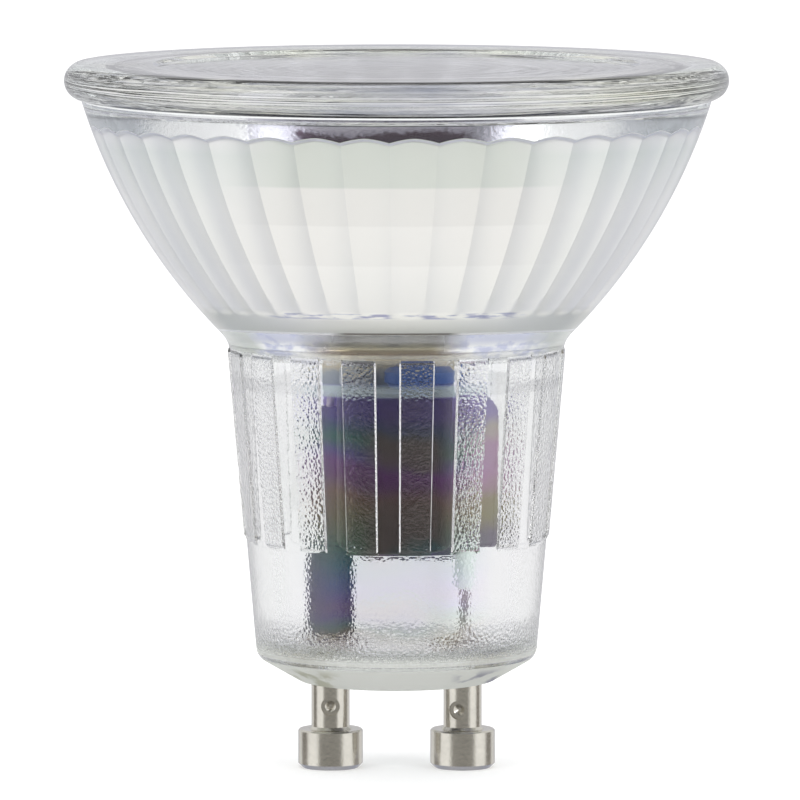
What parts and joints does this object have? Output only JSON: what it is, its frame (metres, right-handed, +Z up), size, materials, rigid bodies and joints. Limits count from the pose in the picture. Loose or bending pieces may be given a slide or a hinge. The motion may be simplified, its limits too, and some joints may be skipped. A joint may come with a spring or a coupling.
{
  "type": "reflector spotlight bulb",
  "caption": "Reflector spotlight bulb: a fluted glass cup with a front lens, a ribbed clear neck that holds the driver board, and a twist-lock base of headed pins.",
  "frame": {"origin": "on the bulb's axis, midway between the pins, on the plane that their feet stand on", "axes": "+Z up the axis towards the front lens, the pins along X, the front of the bulb faces -Y"},
  "size_m": [0.05, 0.05, 0.0534],
  "materials": {
    "body_glass": "clear pressed glass, pebbled on the ribs and low on the neck",
    "lens_glass": "clear pressed glass, polished",
    "seal_clear": "clear silicone, satin",
    "board_white": "white solder mask, matt",
    "chip_package": "white package with a cup of yellow phosphor",
    "white_glue": "white silicone, satin",
    "solder_metal": "bright solder",
    "laminate": "paper laminate, tan, satin",
    "can_metal": "drawn aluminium, fine brushed",
    "can_wrap": "dark shrunk wrap, gloss",
    "bung_rubber": "black rubber, matt",
    "tinned_wire": "tinned copper wire, bright",
    "disc_lacquer": "blue lacquer, gloss",
    "film_case": "silver-grey case, satin",
    "ferrite": "ground ferrite, matt",
    "bobbin_plastic": "black moulded plastic",
    "coil_tape": "yellow polyester tape",
    "chip_black": "black moulding compound, fine matt",
    "resistor_body": "black glaze",
    "fuse_body": "pale green cement, matt",
    "dark_shrink": "dark blue-black shrunk tube, semi-gloss",
    "pale_shrink": "pale greenish-white tube, satin",
    "pin_metal": "nickel plate, turned",
    "washer_metal": "plain steel"
  },
  "bodies": {
    "root": {"glass_envelope": "body_glass", "front_lens": "lens_glass", "lens_seal": "seal_clear", "led_board": "board_white", "led_chips": "chip_package", "board_adhesive": "white_glue", "tongue_solder": "solder_metal", "driver_board": "laminate", "capacitor_can": "can_metal", "capacitor_sleeve": "can_wrap", "capacitor_bung": "bung_rubber", "capacitor_legs": "tinned_wire", "varistor": "disc_lacquer", "film_capacitor": "film_case", "transformer_core": "ferrite", "transformer_bobbin": "bobbin_plastic", "transformer_winding": "coil_tape", "bridge_rectifier": "chip_black", "control_chip": "chip_black", "rectifier_diode": "chip_black", "chip_resistors": "resistor_body", "input_choke": "ferrite", "solder_joints": "solder_metal", "fuse_resistor": "fuse_body", "fuse_leads": "tinned_wire", "fuse_sleeve": "dark_shrink", "right_lead": "tinned_wire", "right_lead_sleeve": "pale_shrink", "contact_pin_left": "pin_metal", "contact_pin_right": "pin_metal", "rivet_washer_left": "washer_metal", "rivet_washer_right": "washer_metal"}
  },
  "joints": []
}
